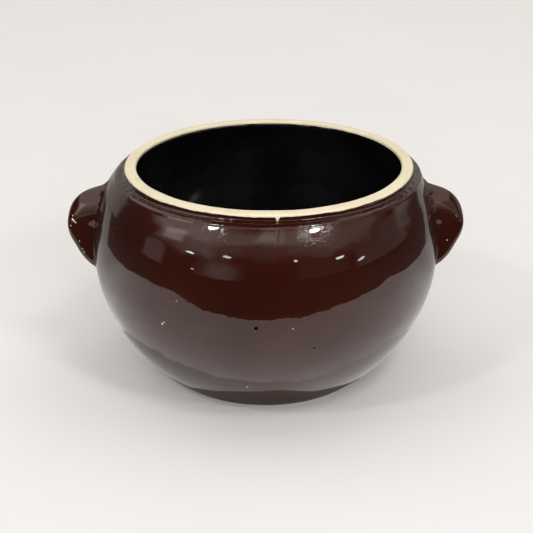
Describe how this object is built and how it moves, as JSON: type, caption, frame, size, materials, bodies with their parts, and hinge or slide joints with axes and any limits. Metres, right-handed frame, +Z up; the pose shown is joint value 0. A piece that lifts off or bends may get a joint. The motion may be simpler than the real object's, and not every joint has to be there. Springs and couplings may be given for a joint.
{
  "type": "crock bowl",
  "caption": "Squat round stoneware crock bowl with side lug handles, a flat bare rim, a recessed foot and glossy brown glaze, for cooking and serving.",
  "frame": {"origin": "middle of the foot ring, on the plane that the bowl stands on", "axes": "+Z up through the mouth, +X through the right lug, -Y towards the viewer of the picture"},
  "size_m": [0.234, 0.204, 0.131],
  "materials": {
    "bare_clay": "matte",
    "clay_slip": "matte",
    "brown_glaze": "gloss",
    "dark_glaze": "gloss"
  },
  "bodies": {
    "root": {"clay_body": "bare_clay", "left_lug": "bare_clay", "right_lug": "bare_clay", "left_lug_slip": "clay_slip", "right_lug_slip": "clay_slip", "outer_glaze": "brown_glaze", "inner_glaze": "dark_glaze"}
  },
  "joints": []
}
